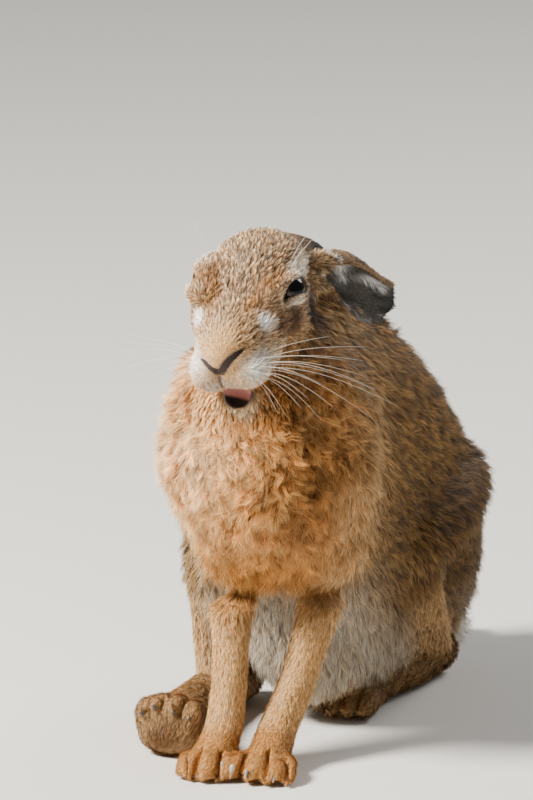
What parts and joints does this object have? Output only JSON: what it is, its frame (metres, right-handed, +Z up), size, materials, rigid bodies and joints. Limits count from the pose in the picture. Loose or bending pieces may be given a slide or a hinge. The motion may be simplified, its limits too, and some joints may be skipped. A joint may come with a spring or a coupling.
{
  "type": "brown hare model",
  "caption": "Life-size still model of a brown hare sitting upright on its haunches, with its ears laid back, forelegs straight and one hind foot drawn forward.",
  "frame": {"origin": "middle of the footprint of the whole hare, on the floor", "axes": "+Z up; the hare faces -Y; +X is the hare's own left side"},
  "size_m": [0.1608, 0.3856, 0.3309],
  "materials": {
    "fur": "matt",
    "eye": "wet gloss"
  },
  "bodies": {
    "root": {"head": "fur", "neck": "fur", "chest": "fur", "torso": "fur", "rump": "fur", "tail": "fur", "foreleg_left": "fur", "foreleg_right": "fur", "paw_left": "fur", "paw_right": "fur", "thigh_left": "fur", "thigh_right": "fur", "shank_left": "fur", "shank_right": "fur", "foot_left": "fur", "foot_right": "fur", "ear_left": "fur", "ear_right": "fur", "eye_left": "eye", "eye_right": "eye"}
  },
  "joints": []
}
